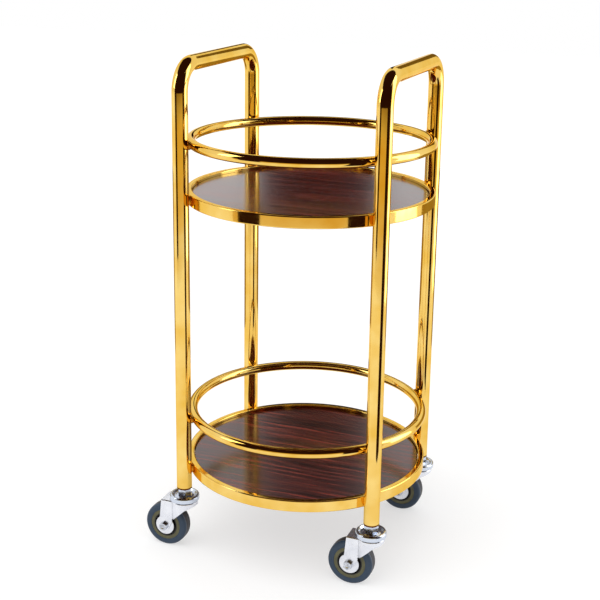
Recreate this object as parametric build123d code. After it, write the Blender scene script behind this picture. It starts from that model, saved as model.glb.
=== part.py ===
from build123d import *
import math
import os

# A two-tier round service cart on four swivel casters.
# Millimetres. The origin is on the floor under the tray axis, Z is up,
# Y runs along the two handles from front to back and X from the left frame tube to the right one.

# Frame tubes
tube_diameter = 25.4
tube_wall = 1.2
tube_bend_radius = 42.0
post_spacing_y = 278.0

# Heights of the frame, stacked up from the post feet
lower_rim_above_foot = 43.8
upper_rim_above_lower = 459.0
handle_above_upper_rim = 215.0

# Trays and guard rings
tray_diameter = 404.0
rim_width = 10.0
rim_height = 19.0
rim_corner_radius = 2.0
rim_wall = 1.2
ring_tube_diameter = 16.0
ring_tube_wall = 1.0
ring_above_rim = 78.0
board_thickness = 9.0
board_recess = 6.0
board_edge_gap = 0.5
board_edge_round = 0.8

# Welds between the rings or rims and the posts
weld_gap = 1.0
ring_weld_radius = 5.0
rim_weld_width = 9.0
rim_weld_margin = 1.0

# Lugs and screws that hold each board in its rim
lug_count = 6
lug_reach = 18.0
lug_width = 16.0
lug_thickness = 3.0
lug_corner_radius = 5.0
screw_diameter = 3.5
screw_grip = 6.0
screw_head_diameter = 7.0
screw_head_height = 2.4
screw_hole_gap = 0.05
screw_inset = 8.0

# Plugs, stems and lock nuts that hold the casters in the tube ends
plug_length = 25.0
plug_gap = 0.05
stem_diameter = 12.0
stem_engagement = 22.0
stem_hole_gap = 0.05
stem_head_diameter = 20.0
stem_head_height = 3.0
stem_head_clearance = 0.15
stem_tip_chamfer = 1.0
lock_nut_across_flats = 21.0
lock_nut_height = 12.5
lock_nut_chamfer = 1.4
nut_chamfer_angle = 30.0

# Swivel heads
swivel_cap_diameter = 50.0
swivel_cap_height = 5.5
swivel_cap_seat_diameter = 24.6
swivel_cap_sheet = 2.0
swivel_cap_skirt = 1.6
swivel_cap_overlap_gap = 0.9
swivel_cap_well_width = 8.4
swivel_cap_well_depth = 1.5
swivel_cap_rim_rise = 2.3
swivel_cap_edge_round = 3.6
race_gap = 3.2
ball_diameter = 5.0
ball_count = 12
ball_clearance = 0.05
king_pin_clearance = 0.08

# Forks
fork_sheet = 2.5
fork_bend_radius = 2.0
fork_crown_back = 35.5
fork_head_depth = 6.5
fork_gusset_run = 13.2
fork_gusset_drop = 5.15
fork_gusset_radius = 13.2
fork_skirt_depth = 34.4
fork_leg_end_radius = 9.0
fork_relief_radius = 1.6

# Wheels
wheel_diameter = 75.0
wheel_top_clearance = 8.5
wheel_trail = 31.0
tyre_width = 24.0
tyre_seat_width = 23.0
tyre_shoulder_radius = 4.5
tyre_tread_crown = 0.6
core_diameter = 53.2
core_fit_gap = 0.05
core_rim_thickness = 7.4
core_web_thickness = 7.0
core_edge_gap = 0.4
hub_diameter = 22.0
hub_length = 25.8
hub_cover_diameter = 33.4
hub_cover_sheet = 1.2
hub_cover_lip = 1.6
hub_cover_bore_gap = 0.1
hub_side_clearance = 0.5
sleeve_diameter = 11.9
sleeve_end_gap = 0.05
wheel_bore_clearance = 0.05
axle_diameter = 8.0
axle_hole_clearance = 0.1
axle_nut_bore_gap = 0.05
axle_across_flats = 13.0
axle_head_height = 5.3
axle_nut_height = 6.5
axle_nut_collar_height = 1.8
axle_tip_length = 1.5
axle_chamfer = 0.8

# Places worked out from the sizes above
tube_radius = tube_diameter / 2
tray_radius = tray_diameter / 2
post_y = post_spacing_y / 2
post_circle_radius = tray_radius + weld_gap + tube_radius
post_x = math.sqrt(post_circle_radius**2 - post_y**2)
ring_radius = tray_radius - ring_tube_diameter / 2
board_radius = tray_radius - rim_width - board_edge_gap
lug_below_rim_top = board_recess + board_thickness
fork_crown_height = wheel_diameter + wheel_top_clearance + fork_sheet
cap_underside = fork_crown_height + race_gap
lock_nut_bottom = cap_underside + swivel_cap_height
post_foot_height = lock_nut_bottom + lock_nut_height
lower_rim_top = post_foot_height + lower_rim_above_foot
upper_rim_top = lower_rim_top + upper_rim_above_lower
handle_top_height = upper_rim_top + handle_above_upper_rim
ball_centre_height = fork_crown_height + race_gap / 2
fork_head_radius = swivel_cap_diameter / 2 - swivel_cap_skirt - swivel_cap_overlap_gap
ball_circle_radius = (fork_head_radius + stem_diameter / 2) / 2 + ball_diameter / 4
wheel_radius = wheel_diameter / 2
axle_height = wheel_radius
hub_half_length = hub_length / 2
leg_inner_y = hub_half_length + hub_cover_sheet + hub_side_clearance
leg_outer_y = leg_inner_y + fork_sheet
fold_x = -math.sqrt(fork_head_radius**2 - leg_outer_y**2)
core_radius = core_diameter / 2

trays = {"upper": upper_rim_top, "lower": lower_rim_top}
corners = {
    "front_left": (-post_x, -post_y),
    "front_right": (post_x, -post_y),
    "rear_left": (-post_x, post_y),
    "rear_right": (post_x, post_y),
}


def annulus(outer_radius, inner_radius):
    """A flat ring for sweeping or revolving into a tube."""
    return Circle(outer_radius) - Circle(inner_radius)


def rod(diameter, bottom, top):
    """A round bar on the Z axis between two heights."""
    return Pos(0, 0, bottom) * extrude(Circle(diameter / 2), top - bottom)


def hexagon_bar(across_flats, bottom, top):
    """A hexagonal bar on the Z axis with two flats facing along Y."""
    outline = RegularPolygon(across_flats / 2, 6, major_radius=False)
    return Pos(0, 0, bottom) * extrude(outline, top - bottom)


def turned(points):
    """A solid of revolution about Z from (radius, height) points."""
    return revolve(Plane.XZ * make_face(Polyline(*points, close=True)), Axis.Z)


def frame_tube(side):
    """One bent tube: a front post, a handle and a rear post, open at both feet."""
    x = side * post_x
    top = handle_top_height - tube_radius
    path = FilletPolyline(
        (x, -post_y, post_foot_height),
        (x, -post_y, top),
        (x, post_y, top),
        (x, post_y, post_foot_height),
        radius=tube_bend_radius,
    )
    section = Plane(origin=path @ 0, z_dir=path % 0) * annulus(tube_radius, tube_radius - tube_wall)
    return sweep(section, path=path)


def guard_ring(rim_top):
    """A round tube rolled into a closed hoop above a tray."""
    tube = ring_tube_diameter / 2
    section = Pos(ring_radius, rim_top + ring_above_rim) * annulus(tube, tube - ring_tube_wall)
    return revolve(Plane.XZ * section, Axis.Z)


def tray_rim(rim_top):
    """A rectangular tube with rounded corners rolled into the hoop round a tray board."""
    outer = RectangleRounded(rim_width, rim_height, rim_corner_radius)
    inner = RectangleRounded(
        rim_width - 2 * rim_wall, rim_height - 2 * rim_wall, rim_corner_radius - rim_wall
    )
    section = Pos(tray_radius - rim_width / 2, rim_top - rim_height / 2) * (outer - inner)
    return revolve(Plane.XZ * section, Axis.Z)


def rim_envelope(rim_top):
    """The rim's outer shape without its bore."""
    outer = RectangleRounded(rim_width, rim_height, rim_corner_radius)
    section = Pos(tray_radius - rim_width / 2, rim_top - rim_height / 2) * outer
    return revolve(Plane.XZ * section, Axis.Z)


def lug_places():
    """Places of the board lugs round a tray, turned so that they miss the posts."""
    return PolarLocations(tray_radius - rim_width, lug_count, start_angle=180 / lug_count)


def tray_board(rim_top):
    """A round laminated board with blind pilot holes from below."""
    top = rim_top - board_recess
    board = rod(2 * board_radius, top - board_thickness, top)
    board = fillet(board.edges().filter_by(GeomType.CIRCLE), board_edge_round)
    pilot = rod(screw_diameter + 2 * screw_hole_gap, 0, screw_grip + screw_hole_gap)
    pilot = Pos(-screw_inset, 0, top - board_thickness) * pilot
    return board - [place * pilot for place in lug_places()]


def board_lugs(rim_top):
    """Flat lugs on the rim's inner wall, under the board's edge."""
    length = lug_reach + rim_width
    outline = Pos(rim_width - length / 2, 0) * RectangleRounded(length, lug_width, lug_corner_radius)
    hole = Pos(-screw_inset, 0) * Circle(screw_diameter / 2 + screw_hole_gap)
    lug = extrude(outline - hole, lug_thickness)
    bottom = rim_top - lug_below_rim_top - lug_thickness
    inside_rim = rod(2 * (tray_radius - rim_width), bottom, rim_top)
    return [(Pos(0, 0, bottom) * place * lug) & inside_rim for place in lug_places()]


def board_screws(rim_top):
    """Pan-head screws through the lugs into the board."""
    seat = rim_top - lug_below_rim_top - lug_thickness
    shank = rod(screw_diameter, seat, seat + lug_thickness + screw_grip)
    head = rod(screw_head_diameter, seat - screw_head_height, seat)
    head = fillet(head.edges().sort_by(Axis.Z)[0], screw_head_height / 2)
    return [place * Pos(-screw_inset, 0, 0) * (head + shank) for place in lug_places()]


def post_envelopes():
    """The four posts as full round bars."""
    return [Pos(x, y) * rod(tube_diameter, 0, handle_top_height) for x, y in corners.values()]


def at_posts(shape):
    """Copies of a shape, modelled on the +X axis, turned to face each post."""
    return [Rot(0, 0, math.degrees(math.atan2(y, x))) * shape for x, y in corners.values()]


def ring_welds(rim_top):
    """Weld beads that fill the gap between a guard ring and the posts."""
    height = rim_top + ring_above_rim
    bead = Pos(tray_radius, 0, height) * Rot(0, 90, 0) * Cylinder(ring_weld_radius, tube_radius)
    ring = revolve(Plane.XZ * Pos(ring_radius, height) * Circle(ring_tube_diameter / 2), Axis.Z)
    return [one - ring - post_envelopes() for one in at_posts(bead)]


def rim_welds(rim_top):
    """Weld beads that fill the gap between a tray rim and the posts."""
    height = rim_height - 2 * (rim_corner_radius + rim_weld_margin)
    bead = Pos(tray_radius, 0, rim_top - rim_height / 2) * Box(rim_width, rim_weld_width, height)
    return [one - rim_envelope(rim_top) - post_envelopes() for one in at_posts(bead)]


def tube_end_plug():
    """A tapped plug pressed into a post's foot."""
    plug = rod(tube_diameter - 2 * (tube_wall + plug_gap), post_foot_height, post_foot_height + plug_length)
    return plug - rod(stem_diameter + 2 * stem_hole_gap, post_foot_height, post_foot_height + plug_length)


def lock_nut():
    """The hexagon nut between a swivel cap and a tube end, chamfered at both ends."""
    nut = hexagon_bar(lock_nut_across_flats, lock_nut_bottom, post_foot_height)
    corner = lock_nut_across_flats / math.sqrt(3)
    rise = lock_nut_chamfer * math.tan(math.radians(nut_chamfer_angle))
    chamfer = turned(
        [
            (0, lock_nut_bottom),
            (corner - lock_nut_chamfer, lock_nut_bottom),
            (corner, lock_nut_bottom + rise),
            (corner, post_foot_height - rise),
            (corner - lock_nut_chamfer, post_foot_height),
            (0, post_foot_height),
        ]
    )
    return (nut & chamfer) - rod(stem_diameter + 2 * stem_hole_gap, lock_nut_bottom, post_foot_height)


def stem():
    """The caster's stem: a rivet head under the fork, the king pin and the threaded end in the plug."""
    head_top = fork_crown_height - fork_sheet - stem_head_clearance
    top = post_foot_height + stem_engagement
    shank = rod(stem_diameter, head_top, top)
    shank = chamfer(shank.edges().sort_by(Axis.Z)[-1], stem_tip_chamfer)
    head = rod(stem_head_diameter, head_top - stem_head_height, head_top)
    head = fillet(head.edges().sort_by(Axis.Z)[0], stem_head_height / 2)
    return shank + head


def ball_groove(clearance):
    """The ring that the balls run in, with a clearance all round."""
    section = Pos(ball_circle_radius, ball_centre_height) * Circle(ball_diameter / 2 + clearance)
    return revolve(Plane.XZ * section, Axis.Z)


def swivel_cap():
    """The pressed cap over the ball race: a nut seat, a shallow well round it, a rolled rim and a skirt."""
    rim = swivel_cap_diameter / 2
    seat = swivel_cap_seat_diameter / 2
    bore = stem_diameter / 2 + stem_hole_gap
    well = (seat + swivel_cap_well_width / 2, lock_nut_bottom - swivel_cap_well_depth)
    crest = (rim - swivel_cap_edge_round, lock_nut_bottom + swivel_cap_rim_rise)
    edge_height = crest[1] - swivel_cap_edge_round
    skirt_foot = fork_crown_height + race_gap / 2
    inside = rim - swivel_cap_skirt
    track_edge = ball_circle_radius + ball_diameter / 2 + swivel_cap_skirt
    outline = [
        Line((bore, cap_underside), (bore, lock_nut_bottom)),
        Line((bore, lock_nut_bottom), (seat, lock_nut_bottom)),
        Spline((seat, lock_nut_bottom), well, tangents=[(1, 0), (1, 0)]),
        Spline(well, crest, tangents=[(1, 0), (1, 0)]),
        RadiusArc(crest, (rim, edge_height), swivel_cap_edge_round),
        Line((rim, edge_height), (rim, skirt_foot)),
        Line((rim, skirt_foot), (inside, skirt_foot)),
        Line((inside, skirt_foot), (inside, edge_height)),
        Line((inside, edge_height), (crest[0], crest[1] - swivel_cap_sheet)),
        Line((crest[0], crest[1] - swivel_cap_sheet), (track_edge, cap_underside + swivel_cap_sheet)),
        Line((track_edge, cap_underside + swivel_cap_sheet), (track_edge, cap_underside)),
        Line((track_edge, cap_underside), (bore, cap_underside)),
    ]
    cap = revolve(Plane.XZ * make_face(outline), Axis.Z)
    return cap - ball_groove(ball_clearance)


def race_balls():
    """The balls between a swivel cap and a fork's crown."""
    ball = Pos(0, 0, ball_centre_height) * Sphere(ball_diameter / 2)
    return [place * ball for place in PolarLocations(ball_circle_radius, ball_count)]


def fork():
    """A fork pressed from one sheet: a crown, a skirt round its front and two legs down to the axle."""
    foot = axle_height - fork_leg_end_radius
    back = wheel_trail + fork_leg_end_radius
    outer_plan = Circle(fork_head_radius) + Pos(-back / 2, 0) * Rectangle(back, 2 * leg_outer_y)
    inner_plan = Circle(fork_head_radius - fork_sheet) + Pos(-back, 0) * Rectangle(2 * back, 2 * leg_inner_y)
    block = Pos(0, 0, foot) * extrude(outer_plan, fork_crown_height - foot)
    block = fillet(block.faces().sort_by(Axis.Z)[-1].edges(), fork_bend_radius)
    hollow = Pos(0, 0, foot) * extrude(inner_plan, fork_crown_height - fork_sheet - foot)
    axle = (-wheel_trail, axle_height)
    head_foot = fork_crown_height - fork_head_depth
    slope = (fork_head_radius - fork_gusset_run, head_foot - fork_gusset_drop)
    leg_end = Pos(*axle) * Circle(fork_leg_end_radius)
    fold_foot = (fold_x, fork_crown_height - fork_skirt_depth)
    side = make_hull(
        [
            *leg_end.edges(),
            Line((-fork_crown_back, fork_crown_height), (fold_x, fork_crown_height)),
            Line((fold_x, fork_crown_height), fold_foot),
        ]
    )
    gusset = make_face(
        Polyline(
            (fold_x, fork_crown_height),
            (fork_head_radius, fork_crown_height),
            (fork_head_radius, head_foot),
            slope,
            fold_foot,
            close=True,
        )
    )
    gusset = fillet(gusset.vertices().sort_by_distance(slope)[0], fork_gusset_radius)
    silhouette = Plane.XZ * (side + gusset)
    pressed = (block - hollow) & extrude(silhouette, fork_head_radius, both=True)
    across = 2 * (leg_outer_y + fork_sheet)
    axle_hole = on_axle(Cylinder(axle_diameter / 2 + axle_hole_clearance, across))
    relief = Pos(fold_foot[0], 0, fold_foot[1]) * Rot(90, 0, 0) * Cylinder(fork_relief_radius, across)
    king_pin = rod(stem_diameter + 2 * king_pin_clearance, foot, fork_crown_height)
    return pressed - axle_hole - relief - king_pin - ball_groove(ball_clearance)


def on_axle(shape):
    """Turns a shape from the Z axis onto the wheel's axle, with +Z to the rear."""
    return Pos(-wheel_trail, 0, axle_height) * Rot(-90, 0, 0) * shape


def axle_bolt():
    """A hexagon-head bolt through both fork legs, head at the front."""
    tip = leg_outer_y + axle_nut_height + axle_tip_length
    shank = rod(axle_diameter, -leg_outer_y, tip)
    shank = chamfer(shank.edges().sort_by(Axis.Z)[-1], axle_chamfer)
    head = hexagon_bar(axle_across_flats, -leg_outer_y - axle_head_height, -leg_outer_y)
    corner = axle_across_flats / math.sqrt(3)
    crown = rod(2 * corner, -leg_outer_y - axle_head_height, -leg_outer_y)
    crown = chamfer(crown.edges().sort_by(Axis.Z)[0], axle_chamfer, 2 * axle_chamfer)
    return on_axle(shank + (head & crown))


def axle_nut():
    """A lock nut with a round collar, at the rear end of the axle bolt."""
    body_top = leg_outer_y + axle_nut_height - axle_nut_collar_height
    body = hexagon_bar(axle_across_flats, leg_outer_y, body_top)
    collar = rod(axle_across_flats - 2 * axle_chamfer, body_top, leg_outer_y + axle_nut_height)
    collar = fillet(collar.edges().sort_by(Axis.Z)[-1], axle_nut_collar_height / 2)
    bore = rod(axle_diameter + 2 * axle_nut_bore_gap, leg_outer_y, leg_outer_y + axle_nut_height)
    return on_axle(body + collar - bore)


def axle_sleeve():
    """The fixed sleeve between the fork legs that the wheel turns on."""
    end = leg_inner_y - sleeve_end_gap
    return on_axle(rod(sleeve_diameter, -end, end) - rod(axle_diameter + 2 * axle_hole_clearance, -end, end))


def wheel_core():
    """The moulded core: a hub, a thin web and the rim that carries the tyre."""
    rim_half = tyre_seat_width / 2 - core_edge_gap
    rim = rod(core_diameter, -rim_half, rim_half)
    web_half = core_web_thickness / 2
    well = annulus(core_radius - core_rim_thickness, hub_diameter / 2)
    wells = [
        Pos(0, 0, web_half) * extrude(well, rim_half),
        Pos(0, 0, -web_half) * extrude(well, -rim_half),
    ]
    hub = rod(hub_diameter, -hub_half_length, hub_half_length)
    bore = rod(sleeve_diameter + 2 * wheel_bore_clearance, -hub_half_length, hub_half_length)
    return on_axle(rim - wells + hub - bore)


def tyre():
    """The tyre: a seat on the core, sides that lean out, round shoulders and a slightly crowned tread."""
    seat = core_radius + core_fit_gap
    half = tyre_width / 2
    seat_half = tyre_seat_width / 2
    tread_edge = wheel_radius - tyre_tread_crown
    outline = [
        Line((seat, -seat_half), (tread_edge, -half)),
        ThreePointArc((tread_edge, -half), (wheel_radius, 0), (tread_edge, half)),
        Line((tread_edge, half), (seat, seat_half)),
        Line((seat, seat_half), (seat, -seat_half)),
    ]
    section = make_face(outline)
    section = fillet(section.vertices().sort_by(Axis.X)[-2:], tyre_shoulder_radius)
    return on_axle(revolve(Plane.XZ * section, Axis.Z))


def hub_covers():
    """Two pressed discs on the hub's ends, each with a lip turned in over the web."""
    outer = hub_half_length + hub_cover_sheet
    rim = hub_cover_diameter / 2
    cover = rod(hub_cover_diameter, hub_half_length - hub_cover_lip, outer)
    cover = fillet(cover.edges().sort_by(Axis.Z)[-1], hub_cover_sheet)
    cover = cover - rod(2 * (rim - hub_cover_sheet), hub_half_length - hub_cover_lip, hub_half_length)
    cover = cover - rod(sleeve_diameter + 2 * hub_cover_bore_gap, hub_half_length, outer)
    return [on_axle(cover), on_axle(Rot(180, 0, 0) * cover)]


def write(name, shape):
    """Writes one node as a STEP file. A list is a group of separate solids."""
    solids = []
    for piece in shape if isinstance(shape, list) else [shape]:
        solids.extend(piece.solids())
    export_step(solids[0] if len(solids) == 1 else Compound(children=solids), f"parts/{name}.step")


def at_corners(shape):
    """Copies of a shape, modelled on the Z axis, at every caster's swivel axis."""
    return [Pos(x, y) * shape for x, y in corners.values()]


os.makedirs("parts", exist_ok=True)

write("left_frame_tube", frame_tube(-1))
write("right_frame_tube", frame_tube(1))
for tier, rim_top in trays.items():
    write(f"{tier}_guard_ring", guard_ring(rim_top))
    write(f"{tier}_tray_rim", tray_rim(rim_top))
    write(f"{tier}_tray_board", tray_board(rim_top))
    write(f"{tier}_board_lugs", board_lugs(rim_top))
    write(f"{tier}_board_screws", board_screws(rim_top))
    write(f"{tier}_ring_welds", ring_welds(rim_top))
    write(f"{tier}_rim_welds", rim_welds(rim_top))
write("tube_end_plugs", at_corners(tube_end_plug()))
write("caster_lock_nuts", at_corners(lock_nut()))

caster_pieces = {
    "stem": stem(),
    "swivel_cap": swivel_cap(),
    "race_balls": race_balls(),
    "fork": fork(),
    "axle_bolt": axle_bolt(),
    "axle_nut": axle_nut(),
    "axle_sleeve": axle_sleeve(),
    "wheel_core": wheel_core(),
    "tyre": tyre(),
    "hub_covers": hub_covers(),
}
for corner, (x, y) in corners.items():
    for piece, shape in caster_pieces.items():
        pieces = shape if isinstance(shape, list) else [shape]
        write(f"{corner}_{piece}", [Pos(x, y) * one for one in pieces])
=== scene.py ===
"""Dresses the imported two-tier service cart: gold tube frame, laminate trays and swivel casters."""

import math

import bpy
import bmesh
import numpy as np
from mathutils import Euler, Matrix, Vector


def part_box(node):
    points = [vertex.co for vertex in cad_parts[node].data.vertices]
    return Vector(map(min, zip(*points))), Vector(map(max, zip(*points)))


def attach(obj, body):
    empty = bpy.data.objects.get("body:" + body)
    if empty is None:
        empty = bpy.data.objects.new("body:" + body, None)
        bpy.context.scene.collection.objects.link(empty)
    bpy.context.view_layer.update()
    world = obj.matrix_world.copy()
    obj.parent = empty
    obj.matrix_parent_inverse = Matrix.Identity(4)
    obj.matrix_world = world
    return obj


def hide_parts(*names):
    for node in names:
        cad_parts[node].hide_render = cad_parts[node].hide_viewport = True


bl_info = {
    "name": "Service cart",
    "version": (1, 0, 0),
    "blender": (4, 5, 0),
    "location": "3D View > Sidebar > Service cart",
    "description": "Builds the finished surfaces of a two-tier service cart round its packed frame",
    "category": "Object",
}

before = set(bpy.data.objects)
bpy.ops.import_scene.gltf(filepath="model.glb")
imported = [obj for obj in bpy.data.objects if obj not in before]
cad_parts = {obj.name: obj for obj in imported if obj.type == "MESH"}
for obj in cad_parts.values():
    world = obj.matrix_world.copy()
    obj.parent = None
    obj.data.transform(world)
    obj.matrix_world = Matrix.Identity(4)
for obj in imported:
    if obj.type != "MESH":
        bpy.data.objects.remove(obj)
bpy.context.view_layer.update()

MM = 0.001
TIERS = ("upper", "lower")
SIDES = ("left", "right")
CORNERS = ("front_left", "front_right", "rear_left", "rear_right")
X_AXIS, Y_AXIS, Z_AXIS = np.eye(3)
# The two directions of a turning circle and the axis that it turns round.
UPRIGHT = (X_AXIS, Y_AXIS, Z_AXIS)
ACROSS = (Z_AXIS, X_AXIS, Y_AXIS)
# Steps round a small piece, a wheel and a hoop, and round a hoop's tube.
ROUND_STEPS, WHEEL_STEPS, HOOP_STEPS, TUBE_STEPS = 96, 128, 360, 48
# Rows along a straight and a bend of a frame tube, and steps along one flat of a nut.
STRAIGHT_ROWS, BEND_ROWS, FLAT_STEPS = 9, 25, 24
# Steps along a weld bead and round it, rows across a tread, and steps along a wall of the stage.
BEAD_STEPS, BEAD_SIDES, TREAD_ROWS, WALL_STEPS = 144, 20, 17, 24
# Points on the arc at each corner of a section: of a rim, a core, a cover and a tyre.
RIM_ARC, CORE_ARC, COVER_ARC, TYRE_ARC = 7, 5, 6, 11
# Points along a swivel cap's seat, well, rolled rim and foot, a bolt's hollow and a nut's collar.
SEAT_ROWS, WELL_ROWS, ROLL_ROWS, LIP_ROWS, HOLLOW_ROWS, COLLAR_ROWS = 9, 15, 13, 9, 9, 7
# Points this close are one point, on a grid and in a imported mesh; a shorter edge has no length.
GRID_MERGE, PACKED_MERGE, NO_LENGTH = 1e-7, 1e-6, 1e-8
# The range that most values of a noise pattern lie in.
NOISE_LOW, NOISE_HIGH = 0.3, 0.7
WHITE, BLACK = (1, 1, 1, 1), (0, 0, 0, 1)
# A nut's ends are cones, its corners are turned off at a share of their radius, and its chamfer
# has a least width.
NUT_CONE, NUT_CORNER, LEAST_CHAMFER = math.radians(30), 0.988, 0.02 * MM
# Turns of an axle bolt's thread, and its depth as a share of its pitch.
THREAD_TURNS, THREAD_DEPTH = 6, 0.6
# Share of a frame tube's wall that is rounded at its foot.
FOOT_LIP = 0.4

# Suns: the side that each shines from, its width in degrees and its strength.
SUNS = (
    ("key", (-0.75, -1.0, 1.9), 60, 1.15),
    ("fill", (1.1, -0.6, 1.4), 70, 0.5),
    ("back", (0.2, 1.2, 1.5), 70, 0.35),
)
# Walls on an arc round the cart: degrees to the right of the camera's side, distance and height.
FRONT_WALL = ((-70, 70), 1.7, 2.3)
REAR_WALL = ((112, 248), 1.1, 0.45)
# The card over the cart: its two far corners and its height.
CEILING = ((-1.6, -2.6), (1.6, 1.1), 2.3)
# Upright sheets: colour, degrees as above, distance, width, foot, top and glow.
SHEETS = (
    ("right card", "card", 43, 0.69, 0.36, 0, 0.72, 1.0),
    ("left card", "card", -54, 1.6, 0.6, 0.12, 0.9, 1.0),
    ("rear card", "wall", 155, 1.4, 0.45, 0.95, 1.6, 0.25),
    ("far card", "card", 179, 6.0, 0.82, 0.9, 5.5, 1.0),
    ("left strip", "strip", -80, 1.6, 0.4, 0.9, 2.0, 4.0),
    ("right strip", "strip", 92, 1.6, 0.8, 0, 2.2, 3.6),
)


def linear(hex_colour):
    """Turns an sRGB hex colour into linear red, green, blue and full alpha."""
    channels = np.array([int(hex_colour[i : i + 2], 16) for i in (1, 3, 5)]) / 255
    low, high = channels / 12.92, ((channels + 0.055) / 1.055) ** 2.4
    return (*np.where(channels <= 0.04045, low, high).tolist(), 1.0)


def colour_property(name, description, hex_colour):
    """A colour that a user can change, given as an sRGB hex value."""
    return bpy.props.FloatVectorProperty(
        name=name, description=description, size=4, min=0, max=1, subtype="COLOR",
        default=linear(hex_colour),
    )


def length_property(name, description, millimetres):
    """A length that a user can change, given in millimetres and kept in metres."""
    return bpy.props.FloatProperty(
        name=name, description=description, unit="LENGTH", precision=4,
        default=millimetres * MM,
    )


class CartSizes(bpy.types.PropertyGroup):
    """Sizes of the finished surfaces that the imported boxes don't give."""

    bend_radius: length_property("Bend radius", "Bend of a frame tube at its centre line", 42.0)
    tube_wall: length_property("Tube wall", "Wall of a frame tube at its open foot", 1.2)
    plug_depth: length_property("Plug depth", "Depth of the plug in a frame tube's foot", 25.5)
    rim_width: length_property("Rim width", "Width of a tray rim's tube", 10.0)
    rim_round: length_property("Rim corner", "Corner radius of a tray rim's tube", 2.0)
    bead_width: length_property("Weld width", "Width of a weld bead's loop", 8.4)
    bead_ripple: length_property("Weld ripple", "Height of the ripples along a weld bead", 0.14)
    ripple_length: length_property("Ripple length", "Length of a ripple along a weld bead", 1.6)
    bead_proud: length_property("Weld height", "How far a weld bead covers the two tubes", 0.7)
    nut_chamfer: length_property("Nut chamfer", "Width of the chamfer at a lock nut's corners", 1.4)
    nut_bore: length_property("Nut bore", "Radius of the bore in a lock nut", 6.05)
    nut_edge: length_property("Nut edge", "Width of a lock nut's softened edges", 0.25)
    cap_seat: length_property("Cap seat", "Radius of the nut seat in a swivel cap", 12.3)
    cap_seat_drop: length_property("Cap seat drop", "Nut seat below the swivel cap's rim", 2.3)
    cap_well: length_property("Cap well", "Radius of the well round the nut seat", 16.5)
    cap_well_drop: length_property("Cap well drop", "Well below the swivel cap's rim", 3.8)
    cap_under: length_property("Cap underside", "Underside below the swivel cap's well", 4.0)
    cap_round: length_property("Cap edge round", "Radius of the swivel cap's rolled edge", 3.6)
    cap_sheet: length_property("Cap sheet", "Sheet thickness of a swivel cap", 1.6)
    bolt_chamfer: length_property("Bolt chamfer", "Chamfer of an axle bolt's head", 0.8)
    bolt_hollow: length_property("Bolt hollow", "Depth of the hollow in an axle bolt's head", 1.1)
    bolt_thread: length_property("Thread pitch", "Pitch of an axle bolt's thread", 1.25)
    bolt_diameter: length_property("Bolt diameter", "Diameter of an axle bolt's shank", 8.0)
    bolt_gap: length_property("Bolt gap", "Room between an axle bolt and its nut", 0.1)
    overlap: length_property("Overlap", "How far a shank or collar runs into its hexagon", 0.2)
    collar_height: length_property("Collar height", "Height of an axle nut's round collar", 1.8)
    shoulder_round: length_property("Tyre shoulder", "Radius of a tyre's shoulders", 4.5)
    tread_crown: length_property("Tread crown", "Rise of a tyre's tread to its middle", 0.6)
    tyre_seat: length_property("Tyre seat", "Radius where a tyre sits on its core", 26.65)
    seat_width: length_property("Seat width", "Width of a tyre where it sits on its core", 23.0)
    seat_edge: length_property("Seat edge", "Rounded edge of a tyre beside its core", 0.4)
    core_inset: length_property("Core inset", "A core's rim below the tyre's side", 0.4)
    core_rim: length_property("Core rim", "Depth of a wheel core's rim", 7.4)
    core_web: length_property("Core web", "Thickness of a wheel core's web", 7.0)
    core_hub: length_property("Core hub", "Radius of a wheel core's hub", 11.0)
    core_edge: length_property("Core edge", "Rounded edge of a wheel core's rim", 0.7)
    # The painted shade of a core's well reaches this far onto its rim.
    core_lip: length_property("Core lip", "Blackened edge of a core's rim beside its well", 1.0)
    sleeve_bore: length_property("Sleeve bore", "Radius of the bore in a wheel core", 6.0)
    bore_edge: length_property("Bore edge", "Rounded edge of the bore in a wheel core", 0.2)
    cover_sheet: length_property("Cover sheet", "Sheet thickness of a hub cover", 1.2)
    cover_round: length_property("Cover round", "Rounded edge of a hub cover", 1.0)
    cover_lip: length_property("Cover lip", "Depth of a hub cover's turned lip", 1.6)


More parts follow.
